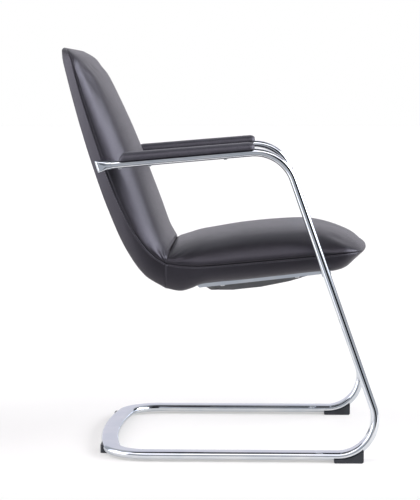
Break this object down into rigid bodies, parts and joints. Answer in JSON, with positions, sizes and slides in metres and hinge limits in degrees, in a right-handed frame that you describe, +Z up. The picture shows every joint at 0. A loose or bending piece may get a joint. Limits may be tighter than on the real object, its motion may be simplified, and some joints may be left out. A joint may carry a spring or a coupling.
{
  "type": "sled base visitor chair",
  "caption": "Sled base visitor chair: one loop of chromed flat oval tube carries a leather covered, one-piece bent seat and back with padded arms.",
  "frame": {"origin": "on the floor, under the middle of the chair outer box", "axes": "+X to the front of the chair, +Y to the left of someone sitting in it, +Z up"},
  "size_m": [0.6634, 0.579, 0.8606],
  "materials": {
    "chrome": "bright polished chrome plate",
    "zinc_steel": "zinc plated, satin",
    "black_plastic": "moulded, fine satin texture",
    "arm_pad_leather": "leather wrapped over a soft pad, satin",
    "leather": "smooth fine grained leather with a soft sheen",
    "plywood": "raw bent beech plywood",
    "foam": "open cell upholstery foam"
  },
  "bodies": {
    "root": {"arm_casting_left": "chrome", "arm_casting_right": "chrome", "arm_pad_base_left": "black_plastic", "arm_pad_base_right": "black_plastic", "arm_pad_left": "arm_pad_leather", "arm_pad_right": "arm_pad_leather", "arm_screw_1_left": "zinc_steel", "arm_screw_1_right": "zinc_steel", "arm_screw_2_left": "zinc_steel", "arm_screw_2_right": "zinc_steel", "arm_screw_3_left": "zinc_steel", "arm_screw_3_right": "zinc_steel", "back_bolt_1_left": "zinc_steel", "back_bolt_1_right": "zinc_steel", "back_bolt_2_left": "zinc_steel", "back_bolt_2_right": "zinc_steel", "back_cushion_cover": "leather", "back_foam": "foam", "back_outer_pad": "leather", "back_tee_nut_1_left": "zinc_steel", "back_tee_nut_1_right": "zinc_steel", "back_tee_nut_2_left": "zinc_steel", "back_tee_nut_2_right": "zinc_steel", "bottom_cover": "black_plastic", "cover_screw_1_left": "zinc_steel", "cover_screw_1_right": "zinc_steel", "cover_screw_2_left": "zinc_steel", "cover_screw_2_right": "zinc_steel", "frame_half_left": "chrome", "frame_half_right": "chrome", "front_glide_left": "black_plastic", "front_glide_right": "black_plastic", "glide_screw_1_left": "zinc_steel", "glide_screw_1_right": "zinc_steel", "glide_screw_2_left": "zinc_steel", "glide_screw_2_right": "zinc_steel", "plywood_shell": "plywood", "rear_glide_left": "black_plastic", "rear_glide_right": "black_plastic", "rear_joint_sleeve": "zinc_steel", "seat_bolt_1_left": "zinc_steel", "seat_bolt_1_right": "zinc_steel", "seat_bolt_2_left": "zinc_steel", "seat_bolt_2_right": "zinc_steel", "seat_cross_tube": "chrome", "seat_cushion_cover": "leather", "seat_foam": "foam", "seat_outer_pad": "leather", "seat_rail_left": "chrome", "seat_rail_right": "chrome", "seat_spacer_1_left": "black_plastic", "seat_spacer_1_right": "black_plastic", "seat_spacer_2_left": "black_plastic", "seat_spacer_2_right": "black_plastic", "seat_tee_nut_1_left": "zinc_steel", "seat_tee_nut_1_right": "zinc_steel", "seat_tee_nut_2_left": "zinc_steel", "seat_tee_nut_2_right": "zinc_steel"}
  },
  "joints": []
}
